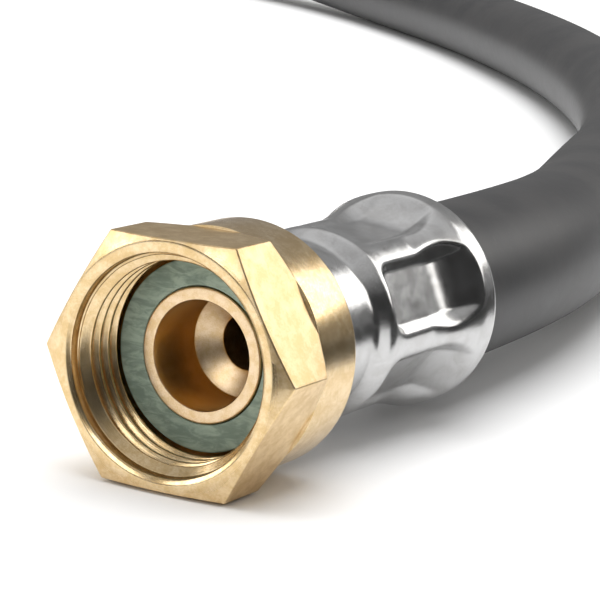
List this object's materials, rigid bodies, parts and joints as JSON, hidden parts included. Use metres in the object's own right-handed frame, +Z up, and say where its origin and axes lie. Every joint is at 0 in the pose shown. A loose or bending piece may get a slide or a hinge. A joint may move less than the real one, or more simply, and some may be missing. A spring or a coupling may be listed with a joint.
{
  "type": "flexible rubber connection hose",
  "caption": "Smooth rubber connection hose with a crimped metal ferrule and a swivelling hexagon union nut with a flat gasket at each end.",
  "frame": {"origin": "on the surface that the hose lies on, under the middle of the near fitting", "axes": "+Z up; +Y along the near fitting's axis, from its mouth towards the hose; +X to the right of that"},
  "size_m": [0.4678, 0.7016, 0.0308],
  "materials": {
    "brass_nut": "turned and milled, bare",
    "brass_tail": "turned, bare",
    "chrome_ferrule": "bright plated",
    "fibre_gasket": "pressed fibre",
    "rubber_cover": "smooth satin",
    "textile_braid": "braided yarn",
    "rubber_liner": "smooth"
  },
  "bodies": {
    "hose": {"near_hose_tail": "brass_tail", "near_crimp_ferrule": "chrome_ferrule", "hose_cover": "rubber_cover", "hose_braid": "textile_braid", "hose_liner": "rubber_liner", "far_hose_tail": "brass_tail", "far_crimp_ferrule": "chrome_ferrule"},
    "near_nut": {"near_union_nut": "brass_nut"},
    "near_washer": {"near_gasket": "fibre_gasket"},
    "far_nut": {"far_union_nut": "brass_nut"},
    "far_washer": {"far_gasket": "fibre_gasket"}
  },
  "joints": [
    {"name": "near_nut_spin", "type": "hinge", "parent": "hose", "child": "near_nut", "pos_m": [0, -0.0197, 0.0154], "axis": [0, 1, 0], "continuous": true},
    {"name": "near_gasket_slide", "type": "slide", "parent": "hose", "child": "near_washer", "axis": [0, -1, 0], "range_m": [0, 0.016]},
    {"name": "far_nut_spin", "type": "hinge", "parent": "hose", "child": "far_nut", "pos_m": [-0.43452, 0.65335, 0.0154], "axis": [-0.866, 0.5, 0], "continuous": true},
    {"name": "far_gasket_slide", "type": "slide", "parent": "hose", "child": "far_washer", "axis": [-0.866, 0.5, 0], "range_m": [0, 0.016]}
  ]
}
